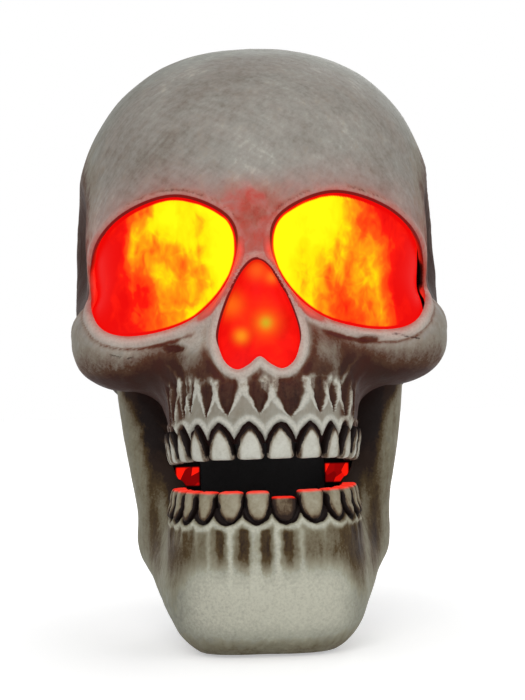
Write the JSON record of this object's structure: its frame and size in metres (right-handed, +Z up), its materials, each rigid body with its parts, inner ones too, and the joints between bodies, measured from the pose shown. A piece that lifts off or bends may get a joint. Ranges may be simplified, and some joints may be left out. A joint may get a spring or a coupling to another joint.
{
  "type": "halloween skull decoration",
  "caption": "Light-up giant skull on a stand, with a hinged jaw, flame-lit eye screens, a red-lit nose and an internal flame projector.",
  "frame": {"origin": "on the floor, on the underside of the stand's foot plate, in the skull's mid-plane", "axes": "+Z up, the face looks along -Y, +X to the viewer's right when facing the skull"},
  "size_m": [0.3994, 0.478, 0.6283],
  "materials": {
    "bone_shell": "hand-brushed bone paint with dark brown washes",
    "flame_screen": "translucent screen lit by the flame projector",
    "nose_screen": "translucent red screen lit from behind",
    "black_plastic": "fine-grained black moulding",
    "black_steel": "black powder coat",
    "plate_steel": "zinc-plated sheet",
    "screw_steel": "zinc-plated",
    "bush_bronze": "oiled bronze",
    "lens_glass": "clear",
    "bright_metal": "bare",
    "circuit_board": "green solder mask",
    "nose_lamp": "lit amber lamp",
    "mouth_lamp": "lit red diffuser",
    "red_plastic": "gloss red"
  },
  "bodies": {
    "skull": {"control_board": "circuit_board", "cover_screw_1": "screw_steel", "cover_screw_2": "screw_steel", "cranium_shell": "bone_shell", "dc_jack": "black_plastic", "eye_screen_left": "flame_screen", "eye_screen_right": "flame_screen", "face_shell": "bone_shell", "floor_plate": "plate_steel", "foot_plate": "black_steel", "foot_screw_1": "screw_steel", "foot_screw_2": "screw_steel", "foot_screw_3": "screw_steel", "foot_screw_4": "screw_steel", "heat_sink": "bright_metal", "jaw_pivot_left": "screw_steel", "jaw_pivot_right": "screw_steel", "led_board": "circuit_board", "mouth_light_left": "mouth_lamp", "mouth_light_right": "mouth_lamp", "mouth_panel_left": "mouth_lamp", "mouth_panel_right": "mouth_lamp", "nose_bracket": "plate_steel", "nose_led_1": "nose_lamp", "nose_led_2": "nose_lamp", "nose_led_3": "nose_lamp", "nose_led_board": "circuit_board", "nose_screen": "nose_screen", "pivot_nut_left": "screw_steel", "pivot_nut_right": "screw_steel", "plate_screw_1": "screw_steel", "plate_screw_2": "screw_steel", "plate_screw_3": "screw_steel", "plate_screw_4": "screw_steel", "post_screw_1": "screw_steel", "post_screw_2": "screw_steel", "post_screw_3": "screw_steel", "post_screw_4": "screw_steel", "power_switch": "black_plastic", "projector_cradle": "black_plastic", "projector_housing": "black_plastic", "projector_lens": "lens_glass", "rear_cover": "black_plastic", "seam_screw_1": "screw_steel", "seam_screw_2": "screw_steel", "seam_screw_3": "screw_steel", "seam_screw_4": "screw_steel", "stand_column": "black_plastic", "wheel_motor": "bright_metal"},
    "jaw": {"jaw_shell": "bone_shell", "jaw_bush_left": "bush_bronze", "jaw_bush_right": "bush_bronze"},
    "effect_wheel": {"effect_wheel": "bright_metal"},
    "switch_rocker": {"switch_rocker": "red_plastic"}
  },
  "joints": [
    {"name": "jaw_hinge", "type": "hinge", "parent": "skull", "child": "jaw", "pos_m": [0, 0.025, 0.275], "axis": [-1, 0, 0], "range_deg": [0, 7]},
    {"name": "effect_wheel_spin", "type": "hinge", "parent": "skull", "child": "effect_wheel", "pos_m": [0, 0, 0.385], "axis": [0, 1, 0], "continuous": true},
    {"name": "switch_rock", "type": "hinge", "parent": "skull", "child": "switch_rocker", "pos_m": [0.022, 0.0673, 0.06], "axis": [-1, 0, 0], "range_deg": [0, 20]}
  ]
}
